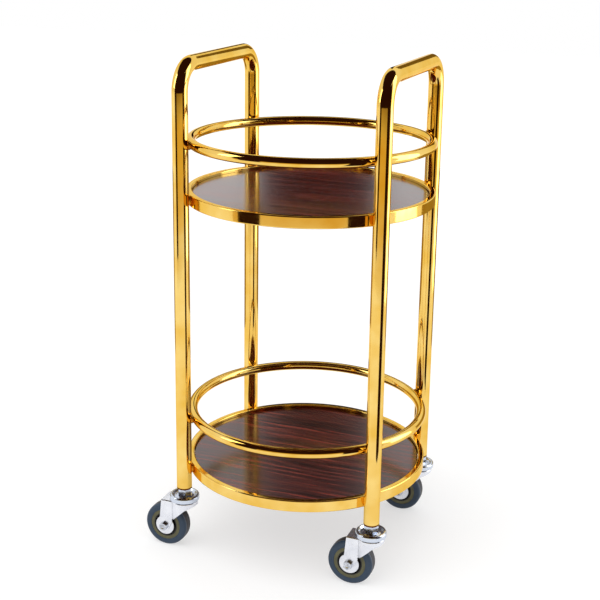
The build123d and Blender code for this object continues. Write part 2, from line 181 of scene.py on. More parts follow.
class CartColours(bpy.types.PropertyGroup):
    """Colours of the finishes."""

    gold: colour_property("Gold", "Titanium coating on the polished tubes", "#F4D27C")
    deep_gold: colour_property("Deep gold", "Thicker patches of the coating", "#E9B94E")
    gold_edge: colour_property("Gold edge", "Tint of the coating at a grazing view", "#F8E4B4")
    # Painted shade: this brown is painted along a tube's foot for the shade where it meets the nut,
    # not a heat tint.
    foot_shade: colour_property("Foot brown", "Heat tint at a tube's sawn foot", "#5E2E06")
    weld_gold: colour_property("Weld gold", "Coating over the weld beads", "#C48A30")
    grain_dark: colour_property("Dark grain", "Dark pores of the laminate's wood print", "#1E0807")
    grain_mid: colour_property("Middle grain", "Body of the laminate's wood print", "#4E130E")
    grain_light: colour_property("Light grain", "Light streaks of the wood print", "#8E3020")
    chrome: colour_property("Chrome", "Chromium plate on caps and lock nuts", "#D0D8E6")
    zinc: colour_property("Zinc", "Bright zinc plate on forks and covers", "#EDEFF5")
    zinc_shade: colour_property("Zinc shade", "Duller patches of the zinc plate", "#DDE0E9")
    bolt_zinc: colour_property("Bolt zinc", "Zinc plate on the axle bolts and nuts", "#A2A7B0")
    # Painted shade: a dark grey painted into the plated sheet's tight folds for the shade there, not
    # dirt.
    fold_shade: colour_property("Fold shade", "Dirt in the folds of the plated sheet", "#55575E")
    core: colour_property("Wheel core", "Olive plastic of the wheel cores", "#6E6B4A")
    core_shade: colour_property("Core shade", "Darker flow marks in the olive plastic", "#57553A")
    tyre_side: colour_property("Tyre side", "Slate side of the tyres", "#2C4056")
    tyre_tread: colour_property("Tyre tread", "Darker rolling face of the tyres", "#28262E")
    # Painted highlight: the pale line at each tyre shoulder stands for light caught there; the same
    # colour also tints the dust.
    tyre_highlight_and_dust: colour_property("Tyre line", "Pale moulded line at a tyre's shoulder", "#5B6A80")
    # Painted shade: a near black painted into the cores' wells for the shade in the deep recess, not
    # grease.
    well_shade: colour_property("Grease", "Grease and dust in the wells of the cores", "#0C0B0A")
    steel: colour_property("Steel", "Plain steel inside the cart", "#9A9DA2")
    floor: colour_property("Floor", "Studio floor", "#B9B9B9")
    wall: colour_property("Wall", "Warm room beyond the white floor", "#E4C46A")
    card: colour_property("Card", "Dark cards that the polished tubes mirror", "#2A140C")
    strip: colour_property("Strip", "Strip lamps that the polished tubes mirror", "#FFFFFF")


class CartStage(bpy.types.PropertyGroup):
    """The camera and the studio."""

    camera_place: bpy.props.FloatVectorProperty(
        name="Camera place", description="Where the camera stands", size=3,
        subtype="TRANSLATION", unit="LENGTH", default=(0.6804, -1.8031, 1.0312),
    )
    camera_turn: bpy.props.FloatProperty(
        name="Camera turn", description="Turn of the view to the left of +Y",
        subtype="ANGLE", default=math.radians(21.141),
    )
    camera_tilt: bpy.props.FloatProperty(
        name="Camera tilt", description="Tilt of the view below level",
        subtype="ANGLE", default=math.radians(15.668),
    )
    camera_roll: bpy.props.FloatProperty(
        name="Camera roll", description="Roll of the camera",
        subtype="ANGLE", default=math.radians(0.862),
    )
    lens: bpy.props.FloatProperty(
        name="Lens", description="Focal length on a 36 mm sensor, in millimetres", default=72.74,
    )
    shift_up: bpy.props.FloatProperty(
        name="Shift", description="Shift of the picture as a share of its width", default=-0.07,
    )
    floor_size: bpy.props.FloatProperty(
        name="Floor size", description="Width of the studio floor", unit="LENGTH", default=16.0,
    )
    floor_glow: bpy.props.FloatProperty(
        name="Floor glow", description="Light that the floor adds for the eye and for mirrors",
        default=0.58,
    )
    sky_light: bpy.props.FloatProperty(
        name="Sky light", description="Strength of the white room on matt surfaces", default=0.55,
    )
    rear_glow: bpy.props.FloatProperty(
        name="Rear glow", description="Glow of the wall behind the cart", default=0.5,
    )


# Mesh building

def arc(centre, radius, start, end, steps):
    """Points on an arc: centre + radius (cos a, sin a), with a from start to end in degrees."""
    angle = np.radians(np.linspace(start, end, steps))
    return np.stack([centre[0] + radius * np.cos(angle), centre[1] + radius * np.sin(angle)], -1)


def ease(start, end, steps):
    """A curve between two points that is flat at both: h = h0 + (h1 - h0)(3 t^2 - 2 t^3)."""
    share = np.linspace(0, 1, steps)
    radius = start[0] + (end[0] - start[0]) * share
    height = start[1] + (end[1] - start[1]) * share**2 * (3 - 2 * share)
    return np.stack([radius, height], -1)


def rounded(corners, radii, steps):
    """A closed outline whose corners are arcs: each arc's centre lies one radius from both sides.

    A corner P with unit sides d1 and d2 turns by an angle t; its arc starts at P - d1 r tan(t/2)
    and its normal swings from that of d1 to that of d2."""
    corners = np.asarray(corners, float)
    radii = np.broadcast_to(np.asarray(radii, float), len(corners))
    into = corners - np.roll(corners, 1, 0)
    into /= np.linalg.norm(into, axis=1, keepdims=True)
    out = np.roll(into, -1, 0)
    cross = into[:, 0] * out[:, 1] - into[:, 1] * out[:, 0]
    turn = np.arctan2(cross, (into * out).sum(1))
    start = corners - into * (radii * np.abs(np.tan(turn / 2)))[:, None]
    normal = np.stack([-into[:, 1], into[:, 0]], -1) * np.sign(turn)[:, None]
    centre = start + normal * radii[:, None]
    first = np.arctan2(-normal[:, 1], -normal[:, 0])
    angle = first[:, None] + turn[:, None] * np.linspace(0, 1, steps)
    swing = np.stack([np.cos(angle), np.sin(angle)], -1)
    return (centre[:, None] + radii[:, None, None] * swing).reshape(-1, 2)


def revolved(profile, origin, axes, steps):
    """A profile of (radius, height) turned round an axis: P = O + r (cos a U + sin a V) + h W."""
    first, second, axis = axes
    angle = np.linspace(0, 2 * np.pi, steps, endpoint=False)[:, None]
    spoke = np.cos(angle) * first + np.sin(angle) * second
    return (
        np.asarray(origin)
        + profile[None, :, :1] * spoke[:, None, :]
        + profile[None, :, 1:] * axis
    )


def swept(centres, radii, first, second, steps):
    """A round section carried along a line of centres: P = C + r (cos a U + sin a V)."""
    angle = np.linspace(0, 2 * np.pi, steps, endpoint=False)[None, :, None]
    swing = np.cos(angle) * first + np.sin(angle) * second
    return centres[:, None] + radii[:, None, None] * swing


def hexagon_rows(flats, bottom, top, chamfer, bore, origin, axes):
    """A bored hexagon with both ends turned to a cone.

    The wall's radius is R(a) = apothem / cos(a from the nearest flat), cut round just inside the
    corners. The cone of angle k meets it at the height top - (R(a) - c) tan k, c being the edge of
    the flat end."""
    first, second, axis = axes
    angle = np.linspace(0, 2 * np.pi, 6 * FLAT_STEPS, endpoint=False)
    from_flat = (angle % (np.pi / 3)) - np.pi / 6
    corner = flats / math.sqrt(3)
    wall = np.minimum(flats / 2 / np.cos(from_flat), corner * NUT_CORNER)
    face = np.minimum(corner - chamfer, wall - LEAST_CHAMFER)
    drop = (wall - face) * math.tan(NUT_CONE)
    inside, low, high = (np.full_like(wall, level) for level in (bore, bottom, top))
    radius = np.stack([inside, face, wall, wall, face, inside], -1)
    height = np.stack([low, low, low + drop, high - drop, high, high], -1)
    spoke = np.cos(angle)[:, None] * first + np.sin(angle)[:, None] * second
    return np.asarray(origin) + radius[..., None] * spoke[:, None] + height[..., None] * axis


def grid_faces(rows, columns, wrap_rows, wrap_columns):
    """Corner numbers of a grid's quads, and each corner's row and column before wrapping."""
    row = np.arange(rows if wrap_rows else rows - 1)[:, None]
    column = np.arange(columns if wrap_columns else columns - 1)[None, :]
    step_rows = np.array([0, 1, 1, 0])
    step_columns = np.array([0, 0, 1, 1])
    at_row = (row[..., None] + step_rows) + 0 * column[..., None]
    at_column = (column[..., None] + step_columns) + 0 * row[..., None]
    quads = (at_row % rows) * columns + at_column % columns
    return quads.reshape(-1, 4), at_row.reshape(-1, 4), at_column.reshape(-1, 4)


def run_lengths(points, axis, wrap):
    """Metres along one direction of a grid, as the mean over the other direction."""
    if wrap:
        points = np.concatenate([points, np.take(points, [0], axis)], axis)
    steps = np.linalg.norm(np.diff(points, axis=axis), axis=-1).mean(1 - axis)
    return np.concatenate([[0], np.cumsum(steps)])


def surface(name, grids, wrap=(True, True), crease=None):
    """One mesh from grids of points: each cell is a quad, and the UV map holds metres along them.

    Quads are turned so that the volume they enclose is positive, and a row at a pole is merged."""
    points, quads, maps, first = [], [], [], 0
    for grid in grids:
        faces, at_row, at_column = grid_faces(*grid.shape[:2], *wrap)
        corners = grid.reshape(-1, 3)
        along = run_lengths(grid, 0, wrap[0])[at_row]
        across = run_lengths(grid, 1, wrap[1])[at_column]
        a, b, c, d = (corners[faces[:, k]] for k in range(4))
        volume = (a * np.cross(b, c)).sum() + (a * np.cross(c, d)).sum()
        order = slice(None) if volume > 0 else slice(None, None, -1)
        points.append(corners)
        quads.append(faces[:, order] + first)
        maps.append(np.stack([along, across], -1)[:, order])
        first += len(corners)
    mesh = bpy.data.meshes.new(name)
    mesh.from_pydata(np.concatenate(points).tolist(), [], np.concatenate(quads).tolist())
    layer = mesh.uv_layers.new(name="metres")
    layer.data.foreach_set("uv", np.concatenate(maps).astype(np.float32).ravel())
    weld = bmesh.new()
    weld.from_mesh(mesh)
    bmesh.ops.remove_doubles(weld, verts=weld.verts, dist=GRID_MERGE)
    bmesh.ops.dissolve_degenerate(weld, edges=weld.edges, dist=NO_LENGTH)
    weld.to_mesh(mesh)
    weld.free()
    shade(mesh, crease)
    return mesh


def turned_mesh(name, profiles, place, axes, steps, crease=None):
    """One mesh of closed profiles that are all turned round the same axis."""
    grids = [revolved(profile, place, axes, steps) for profile in profiles]
    return surface(name, grids, crease=crease)


def shade(mesh, crease):
    """Smooth shading that stays sharp where two faces meet at more than the crease, in degrees."""
    mesh.polygons.foreach_set("use_smooth", np.ones(len(mesh.polygons), bool))
    if crease is not None:
        mesh.set_sharp_from_angle(angle=math.radians(crease))
    mesh.update()


def add_piece(mesh, body, slot, finish, *nodes):
    """Puts a finished mesh in the scene on its body, in place of the nodes that it stands for."""
    piece = bpy.data.objects.new(mesh.name, mesh)
    bpy.context.scene.collection.objects.link(piece)
    mesh.materials.append(finish)
    weights = piece.modifiers.new("face weights", "WEIGHTED_NORMAL")
    weights.keep_sharp = True
    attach(piece, body)
    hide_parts(*nodes)
    return piece


class NodeBox:
    """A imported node's lowest and highest corner, its middle and half its size, as arrays."""

    def __init__(self, node):
        self.low, self.high = (np.array(corner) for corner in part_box(node))
        self.middle = (self.low + self.high) / 2
        self.half = (self.high - self.low) / 2


# Materials

def fill(tree, node, inputs):
    """Sets a node's inputs to values, or links them to output sockets."""
    for key, value in inputs.items():
        if isinstance(value, bpy.types.NodeSocket):
            tree.links.new(value, node.inputs[key])
        else:
            node.inputs[key].default_value = value


def add_node(tree, kind, inputs=None, stops=None, **settings):
    """Adds a node with its properties and its inputs, and with the stops of a ramp."""
    node = tree.nodes.new(kind)
    for key, value in settings.items():
        setattr(node, key, value)
    fill(tree, node, inputs or {})
    if stops:
        ramp = node.color_ramp.elements
        while len(ramp) < len(stops):
            ramp.new(0.5)
        for element, (position, colour) in zip(ramp, stops):
            element.position = position
            element.color = colour
    return node


def empty_material(name):
    """A node material with no nodes yet."""
    material = bpy.data.materials.new(name)
    material.use_nodes = True
    material.node_tree.nodes.clear()
    return material, material.node_tree


def new_material(name):
    """A material with its Principled shader joined to the output, and Object coordinates."""
    material, tree = empty_material(name)
    shader = add_node(tree, "ShaderNodeBsdfPrincipled")
    add_node(tree, "ShaderNodeOutputMaterial", {"Surface": shader.outputs["BSDF"]})
    place = add_node(tree, "ShaderNodeTexCoord").outputs["Object"]
    return material, tree, shader, place


def wave(tree, place, millimetres, detail=2.0, stretch=(1, 1, 1)):
    """Noise whose features are about the given size, longer along an axis by its stretch."""
    scale = [1 / (millimetres * MM * longer) for longer in stretch]
    mapping = add_node(tree, "ShaderNodeMapping", {"Vector": place, "Scale": scale})
    noise = add_node(
        tree, "ShaderNodeTexNoise",
        {"Vector": mapping.outputs["Vector"], "Scale": 1.0, "Detail": detail},
    )
    return noise.outputs["Fac"]


def section_share(tree, profile_length):
    """How far round a turned section a point lies, from 0 to 1."""
    metres = add_node(tree, "ShaderNodeUVMap", uv_map="metres").outputs["UV"]
    across = add_node(tree, "ShaderNodeSeparateXYZ", {"Vector": metres}).outputs["Y"]
    return add_node(
        tree, "ShaderNodeMath", {0: across, 1: profile_length}, operation="DIVIDE",
    ).outputs["Value"]


def mixed(tree, share, under, over, span=(NOISE_LOW, NOISE_HIGH), amount=(0.0, 1.0)):
    """Lays one colour over another by an amount that runs over a span of a pattern's values."""
    cover = add_node(
        tree, "ShaderNodeMapRange",
        {"Value": share, "From Min": span[0], "From Max": span[1],
         "To Min": amount[0], "To Max": amount[1]},
    )
    # A Mix node's colours are its inputs 6 and 7 and its output 2.
    both = add_node(
        tree, "ShaderNodeMix", {"Factor": cover.outputs["Result"], 6: under, 7: over},
        data_type="RGBA",
    )
    return both.outputs[2]


def finish_shader(tree, shader, inputs, haze, roughness, relief, depth, under=None):
    """Sets a Principled shader: the haze gives its roughness, and the relief, in mm, its normal.

    The relief lies on any earlier relief under it."""
    dull = add_node(
        tree, "ShaderNodeMapRange",
        {"Value": haze, "From Min": NOISE_LOW, "From Max": NOISE_HIGH,
         "To Min": roughness[0], "To Max": roughness[1]},
    )
    bump = add_node(
        tree, "ShaderNodeBump", {"Height": relief, "Distance": depth * MM, "Strength": 1.0},
    )
    if under is not None:
        fill(tree, bump, {"Normal": under})
    surface_inputs = {"Roughness": dull.outputs["Result"], "Normal": bump.outputs["Normal"]}
    fill(tree, shader, {**inputs, **surface_inputs})


def polished_gold(name, roughness, foot=None):
    """Stainless steel tube, mirror polished, with a titanium nitride coating.

    A clear warm mirror: the coating's thickness changes the gold a little every few centimetres, and
    the polishing wheel leaves faint waves and lines along the tube. Where the height of a sawn foot
    is given, the last three millimetres above it are painted brown, a painted shade line where the
    tube meets the nut below."""
    colours = bpy.context.scene.cart_colours
    material, tree, shader, place = new_material(name)
    along = add_node(tree, "ShaderNodeUVMap", uv_map="metres").outputs["UV"]
    coat = wave(tree, place, 45)
    # Polishing lines are a few hundredths of a millimetre wide; drawn at 0.6 mm so that they show.
    lines = wave(tree, along, 0.6, 1.0, (60, 1, 1))
    hand = wave(tree, place, 22, 1.0)
    gold = mixed(tree, coat, colours.deep_gold, colours.gold)
    if foot is not None:
        # Painted shade: the last three millimetres above the foot are painted dark brown for the
        # shade where the tube meets the nut.
        up = add_node(tree, "ShaderNodeSeparateXYZ", {"Vector": place}).outputs["Z"]
        fade = (foot + 2.6 * MM, foot + 3.4 * MM)
        gold = mixed(tree, up, gold, colours.foot_shade, fade, (1.0, 0.0))
    waves = add_node(
        tree, "ShaderNodeBump", {"Height": hand, "Distance": 0.05 * MM, "Strength": 1.0},
    )
    finish_shader(
        tree, shader,
        {"Metallic": 1.0, "Base Color": gold, "Specular Tint": colours.gold_edge},
        lines, (roughness * 0.7, roughness * 1.4), lines, 0.0006, waves.outputs["Normal"],
    )
    return material


def weld_gold():
    """Welded bead, lightly brushed, under the same coating: darker and duller than the tubes."""
    colours = bpy.context.scene.cart_colours
    material, tree, shader, place = new_material("coated weld bead")
    grain = wave(tree, place, 1.1, 3.0)
    patches = wave(tree, place, 4)
    gold = mixed(tree, patches, colours.weld_gold, colours.deep_gold)
    finish_shader(
        tree, shader, {"Metallic": 1.0, "Base Color": gold}, grain, (0.16, 0.34), grain, 0.12,
    )
    return material


def wood_laminate():
    """High-pressure laminate with a printed mahogany grain and a smooth satin-gloss face.

    Fine dark pores and reddish streaks run along X, and at low angles the face mirrors the room."""
    colours = bpy.context.scene.cart_colours
    material, tree, shader, place = new_material("mahogany laminate")
    # The grain sways by up to 14 mm over about 130 mm.
    sway = add_node(
        tree, "ShaderNodeTexNoise", {"Vector": place, "Scale": 1 / (130 * MM), "Detail": 1.0},
    )
    bent = add_node(
        tree, "ShaderNodeVectorMath", {0: sway.outputs["Color"], 1: [14 * MM] * 3, 2: place},
        operation="MULTIPLY_ADD",
    )
    along = bent.outputs["Vector"]
    streaks = wave(tree, along, 7.0, 3.0, (26, 1, 1))
    pores = wave(tree, along, 1.6, 2.0, (40, 1, 1))
    dark = colours.grain_dark
    middle = (NOISE_LOW + NOISE_HIGH) / 2
    body = add_node(
        tree, "ShaderNodeValToRGB", {"Fac": streaks},
        stops=[(NOISE_LOW, dark), (middle, colours.grain_mid),
               (NOISE_HIGH, colours.grain_light)],
    )
    wood = mixed(tree, pores, body.outputs["Color"], dark, amount=(0.6, 0.0))
    finish_shader(
        tree, shader, {"Base Color": wood, "IOR": 1.5, "Coat Weight": 0.4, "Coat Roughness": 0.14},
        streaks, (0.18, 0.24), pores, 0.003,
    )
    return material


def bright_chrome():
    """Pressed steel with nickel and chromium plate: a cold mirror with faint buffing haze."""
    colours = bpy.context.scene.cart_colours
    material, tree, shader, place = new_material("chromium plate")
    haze = wave(tree, place, 3.5, 3.0)
    finish_shader(
        tree, shader, {"Metallic": 1.0, "Base Color": colours.chrome},
        haze, (0.16, 0.26), haze, 0.004,
    )
    return material


def zinc_plate(name, bright, roughness, millimetres):
    """Pressed steel with bright zinc plate: pale, faintly mottled, softer than chrome.

    The piece's own tight folds are darkened by a painted shade, standing in for the shade that falls
    in them."""
    colours = bpy.context.scene.cart_colours
    material, tree, shader, place = new_material(name)
    mottle = wave(tree, place, millimetres, 4.0)
    # The rolled sheet's orange peel is near 0.1 mm; drawn at 0.7 mm so that it shows.
    peel = wave(tree, place, 0.7, 2.0)
    plate = mixed(tree, mottle, colours.zinc_shade, bright)
    # Painted shade: an occlusion mask paints the tight folds dark grey, as shade would fall there.
    near = add_node(
        tree, "ShaderNodeAmbientOcclusion", {"Distance": 2.0 * MM}, samples=16, only_local=True,
    )
    fold = (0.84, 0.985)
    fold_shaded = mixed(tree, near.outputs["AO"], plate, colours.fold_shade, fold, (1.0, 0.0))
    finish_shader(
        tree, shader, {"Metallic": 1.0, "Base Color": fold_shaded},
        mottle, (roughness * 1.25, roughness * 0.8), peel, 0.002,
    )
    return material


def olive_plastic(profile_length, shares):
    """Injection-moulded polypropylene: waxy olive, faint flow marks and a fine eroded texture.

    A painted shade blackens the well beside the hub, up to the rim's inner edge, for the shade in
    the deep recess. The second map coordinate runs along the section, and the shares say where the
    two wells start and end."""
    colours = bpy.context.scene.cart_colours
    material, tree, shader, place = new_material("olive polypropylene")
    flow = wave(tree, place, 9, 3.0)
    # Spark-eroded texture is near 0.05 mm; drawn at 0.5 mm so that it shows.
    spark = wave(tree, place, 0.5, 2.0)
    fade = 0.004
    stops = [(0.0, BLACK)]
    for start, end in shares:
        stops += [(start - fade, BLACK), (start, WHITE), (end, WHITE), (end + fade, BLACK)]
    # Painted shade: the wells are painted near black, as shade would fall in the deep recess.
    share = section_share(tree, profile_length)
    well = add_node(tree, "ShaderNodeValToRGB", {"Fac": share}, stops=stops)
    olive = mixed(tree, flow, colours.core_shade, colours.core)
    well_shaded = mixed(tree, well.outputs["Color"], olive, colours.well_shade, (0.0, 1.0))
    finish_shader(
        tree, shader, {"Base Color": well_shaded, "IOR": 1.49}, spark, (0.36, 0.52), spark, 0.02,
    )
    return material


def tyre_rubber(profile_length):
    """Moulded thermoplastic rubber: slate sides, a darker tread and a painted highlight line at each
    shoulder.

    The second map coordinate runs across the tyre, from one side over the tread to the other."""
    colours = bpy.context.scene.cart_colours
    material, tree, shader, place = new_material("slate rubber")
    side, line, tread = colours.tyre_side, colours.tyre_highlight_and_dust, colours.tyre_tread
    # Painted highlight: a pale band at each shoulder, where light catches the rounded edge.
    bands = add_node(
        tree, "ShaderNodeValToRGB", {"Fac": section_share(tree, profile_length)},
        stops=[(0.0, side), (0.205, side), (0.222, line), (0.238, tread), (0.472, tread),
               (0.488, line), (0.505, side), (1.0, side)],
    )
    dust = wave(tree, place, 6, 4.0)
    # Mould texture is near 0.08 mm; drawn at 0.6 mm so that it shows.
    grit = wave(tree, place, 0.6, 2.0)
    # The same pale colour lightens the dusty patches a little.
    worn = mixed(tree, dust, bands.outputs["Color"], line, amount=(0.0, 0.1))
    finish_shader(
        tree, shader, {"Base Color": worn, "IOR": 1.5}, grit, (0.42, 0.62), grit, 0.03,
    )
    return material


def plain_steel(name, roughness):
    """Bare machined steel with fine turning marks, for the pieces inside."""
    colours = bpy.context.scene.cart_colours
    material, tree, shader, place = new_material(name)
    marks = wave(tree, place, 0.8, 2.0, (4, 4, 1))
    finish_shader(
        tree, shader, {"Metallic": 1.0, "Base Color": colours.steel},
        marks, (roughness * 0.8, roughness * 1.3), marks, 0.01,
    )
    return material


# Pieces

class CART_OT_frame_tubes(bpy.types.Operator):
    """Builds the two bent frame tubes"""

    bl_idname = "cart.frame_tubes"
    bl_label = "Frame tubes"

    def execute(self, context):
        sizes = context.scene.cart_sizes
        finish = polished_gold("mirror gold tube", 0.06, NodeBox("left_frame_tube").low[2])
        for side in SIDES:
            node = f"{side}_frame_tube"
            mesh = surface(f"gold_tube_{side}", [bent_tube(node, sizes)], (False, True), crease=50)
            add_piece(mesh, "cart_frame", "gold_tube", finish, node)
        return {"FINISHED"}


def bent_tube(node, sizes):
    """A round tube carried up one post, round a bend, along the handle and down the other post.

    The centre line lies in the plane of the two posts; P = C(s) + r (cos a N(s) + sin a X). At each
    foot the surface turns in over the tube's wall and closes above the plug."""
    box = NodeBox(node)
    radius, bend = box.half[0], sizes.bend_radius
    post = box.half[1] - radius
    foot, top = box.low[2], box.high[2] - radius
    bore, lip = radius - sizes.tube_wall, sizes.tube_wall * FOOT_LIP
    end_radii = np.array([0, bore, bore, bore + lip, radius - lip])
    end_rise = foot + np.array([sizes.plug_depth, sizes.plug_depth, lip, 0, 0])
    post_rise = np.linspace(foot, top - bend, STRAIGHT_ROWS)
    post_rise[0] += lip
    rise = np.concatenate([end_rise, post_rise])
    swing = np.radians(np.linspace(0, 90, BEND_ROWS))[1:]
    turn = np.stack([-np.cos(swing), np.sin(swing)], -1)
    one_side = np.concatenate([
        np.stack([np.full_like(rise, -post), rise], -1), [bend - post, top - bend] + bend * turn,
    ])
    handle = np.linspace(bend - post, post - bend, STRAIGHT_ROWS)[1:-1]
    handle = np.stack([handle, np.full_like(handle, top)], -1)
    line = np.concatenate([one_side, handle, one_side[::-1] * [-1, 1]])
    facing = np.concatenate([np.tile([-1.0, 0.0], (len(rise), 1)), turn])
    level = np.tile([0.0, 1.0], (len(handle), 1))
    facing = np.concatenate([facing, level, facing[::-1] * [-1, 1]])
    radii = np.full(len(line), radius)
    radii[: len(end_radii)] = end_radii
    radii[-len(end_radii) :] = end_radii[::-1]
    centres = np.column_stack([np.zeros(len(line)), line]) + box.middle * [1, 1, 0]
    normal = np.column_stack([np.zeros(len(line)), facing])
    return swept(centres, radii, normal[:, None], X_AXIS, ROUND_STEPS)


class CART_OT_guard_rings(bpy.types.Operator):
    """Builds the round-tube ring above each tray"""

    bl_idname = "cart.guard_rings"
    bl_label = "Guard rings"

    def execute(self, context):
        finish = polished_gold("mirror gold ring", 0.06)
        for tier in TIERS:
            node = f"{tier}_guard_ring"
            box = NodeBox(node)
            tube = box.half[2]
            section = arc((box.half[0] - tube, 0), tube, 0, 360, TUBE_STEPS + 1)[:-1]
            mesh = turned_mesh(f"gold_ring_{tier}", [section], box.middle, UPRIGHT, HOOP_STEPS)
            add_piece(mesh, "cart_frame", "gold_tube", finish, node)
        return {"FINISHED"}


class CART_OT_tray_rims(bpy.types.Operator):
    """Builds the rolled rectangular rim round each tray"""

    bl_idname = "cart.tray_rims"
    bl_label = "Tray rims"

    def execute(self, context):
        sizes = context.scene.cart_sizes
        finish = polished_gold("mirror gold rim", 0.08)
        for tier in TIERS:
            node = f"{tier}_tray_rim"
            box = NodeBox(node)
            outer, tall = box.half[0], box.half[2]
            inner = outer - sizes.rim_width
            corners = [(inner, -tall), (outer, -tall), (outer, tall), (inner, tall)]
            section = rounded(corners, sizes.rim_round, RIM_ARC)
            mesh = turned_mesh(f"gold_rim_{tier}", [section], box.middle, UPRIGHT, HOOP_STEPS, 40)
            add_piece(mesh, "cart_frame", "gold_rim", finish, node)
        return {"FINISHED"}


class CART_OT_tray_boards(bpy.types.Operator):
    """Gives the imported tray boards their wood-grain laminate"""

    bl_idname = "cart.tray_boards"
    bl_label = "Tray boards"

    def execute(self, context):
        finish = wood_laminate()
        for tier in TIERS:
            dress_node(f"{tier}_tray_board", finish)
        return {"FINISHED"}


def dress_node(node, finish):
    """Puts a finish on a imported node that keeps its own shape."""
    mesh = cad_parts[node].data
    mesh.materials.clear()
    mesh.materials.append(finish)


class CART_OT_weld_beads(bpy.types.Operator):
    """Builds the rippled weld beads that join rings and rims to the posts"""

    bl_idname = "cart.weld_beads"
    bl_label = "Weld beads"

    def execute(self, context):
        sizes = context.scene.cart_sizes
        finish = weld_gold()
        tube = NodeBox("right_frame_tube")
        post = tube.half[0]
        x, y = tube.middle[0], tube.high[1] - post
        places = [(-x, -y), (-x, y), (x, -y), (x, y)]
        for tier in TIERS:
            for kind, hoop in (("ring", "guard_ring"), ("rim", "tray_rim")):
                node = f"{tier}_{kind}_welds"
                beads, hoop_half = NodeBox(node), NodeBox(f"{tier}_{hoop}").half
                loop = weld_loop(
                    sizes, hoop_half[0], hoop_half[2], kind == "ring", beads.half[2],
                    math.hypot(x, y), post,
                )
                loop += Z_AXIS * beads.middle[2]
                grids = [turned_to(loop, *place) for place in places]
                mesh = surface(f"gold_{tier}_{kind}_beads", grids)
                add_piece(mesh, "cart_frame", "gold_weld", finish, node)
        return {"FINISHED"}


def weld_loop(sizes, hoop_radius, hoop_half, round_hoop, half_height, reach, post_radius):
    """A bead round one contact on the +X axis: a loop t, z = (a cos u, b sin u) amid the gap.

    Its tube's radius is half the gap there plus the bead's height and its ripples, e cos n u."""
    half_width = sizes.bead_width / 2
    turn = np.linspace(0, 2 * np.pi, BEAD_STEPS, endpoint=False)
    side, height = half_width * np.cos(turn), half_height * np.sin(turn)
    bulge = hoop_half - np.sqrt(np.maximum(hoop_half**2 - height**2, 0)) if round_hoop else 0
    hoop = np.sqrt(hoop_radius**2 - side**2) - bulge
    post = reach - np.sqrt(post_radius**2 - side**2)
    ripples = round((half_width + half_height) * np.pi / sizes.ripple_length)
    thick = (post - hoop) / 2 + sizes.bead_proud + sizes.bead_ripple * np.cos(ripples * turn)
    centres = np.stack([(post + hoop) / 2, side, height], -1)
    outward = np.stack([0 * turn, np.cos(turn) * half_height, np.sin(turn) * half_width], -1)
    outward /= np.linalg.norm(outward, axis=1, keepdims=True)
    return swept(centres, thick, X_AXIS, outward[:, None], BEAD_SIDES)


def turned_to(grid, x, y):
    """Turns points that were made on the +X axis round Z to face the point x, y."""
    reach = math.hypot(x, y)
    turn = np.array([[x / reach, -y / reach, 0], [y / reach, x / reach, 0], [0, 0, 1]])
    return grid @ turn.T


class CART_OT_lock_nuts(bpy.types.Operator):
    """Builds the four hexagon nuts between the posts and the casters"""

    bl_idname = "cart.lock_nuts"
    bl_label = "Lock nuts"

    def execute(self, context):
        sizes = context.scene.cart_sizes
        nuts = NodeBox("caster_lock_nuts")
        low, high = nuts.low, nuts.high
        grids = []
        for corner in CORNERS:
            stem = NodeBox(f"{corner}_stem").middle
            flats = (high[1] - stem[1] if stem[1] > 0 else stem[1] - low[1]) * 2
            place = stem * [1, 1, 0]
            grids.append(hexagon_rows(
                flats, low[2], high[2], sizes.nut_chamfer, sizes.nut_bore, place, UPRIGHT,
            ))
        mesh = surface("chrome_lock_nuts", grids, crease=12)
        piece = add_piece(mesh, "cart_frame", "chrome_cap", bright_chrome(), "caster_lock_nuts")
        soften(piece, sizes.nut_edge)
        return {"FINISHED"}


def soften(piece, width):
    """Rounds a piece's hard edges by a small bevel that keeps the faces flat."""
    bevel = piece.modifiers.new("soft edges", "BEVEL")
    bevel.width = width
    bevel.segments = 2
    bevel.limit_method = "ANGLE"
    bevel.angle_limit = math.radians(18)
    bevel.harden_normals = True


class CART_OT_swivel_caps(bpy.types.Operator):
    """Builds the pressed dish over each caster's ball race"""

    bl_idname = "cart.swivel_caps"
    bl_label = "Swivel caps"

    def execute(self, context):
        sizes = context.scene.cart_sizes
        finish = bright_chrome()
        for corner in CORNERS:
            node = f"{corner}_swivel_cap"
            box = NodeBox(node)
            profile = cap_profile(sizes, box.half[0], box.low[2], box.high[2])
            place = box.middle * [1, 1, 0]
            mesh = turned_mesh(f"chrome_cap_{corner}", [profile], place, UPRIGHT, ROUND_STEPS, 35)
            add_piece(mesh, "cart_frame", "chrome_cap", finish, node)
        return {"FINISHED"}


def cap_profile(sizes, rim, foot, crest):
    """Half section of the dish: bore, nut seat, well, rolled rim, skirt and a flat underside.

    Seat, well and rim are joined by curves that are flat at both ends, the rim is a quarter circle,
    and the skirt's foot is a half circle as wide as the sheet."""
    sheet, roll = sizes.cap_sheet, sizes.cap_round
    seat = (sizes.cap_seat, crest - sizes.cap_seat_drop)
    well = (sizes.cap_well, crest - sizes.cap_well_drop)
    top = (rim - roll, crest)
    under = well[1] - sizes.cap_under
    return np.concatenate([
        [(sizes.nut_bore, under), (sizes.nut_bore, seat[1])],
        ease(seat, well, SEAT_ROWS),
        ease(well, top, WELL_ROWS)[1:],
        arc((rim - roll, crest - roll), roll, 90, 0, ROLL_ROWS)[1:],
        arc((rim - sheet / 2, foot + sheet / 2), sheet / 2, 0, -180, LIP_ROWS),
        [(rim - sheet, crest - roll), (top[0], crest - sheet), (well[0] + sheet, under)],
    ])


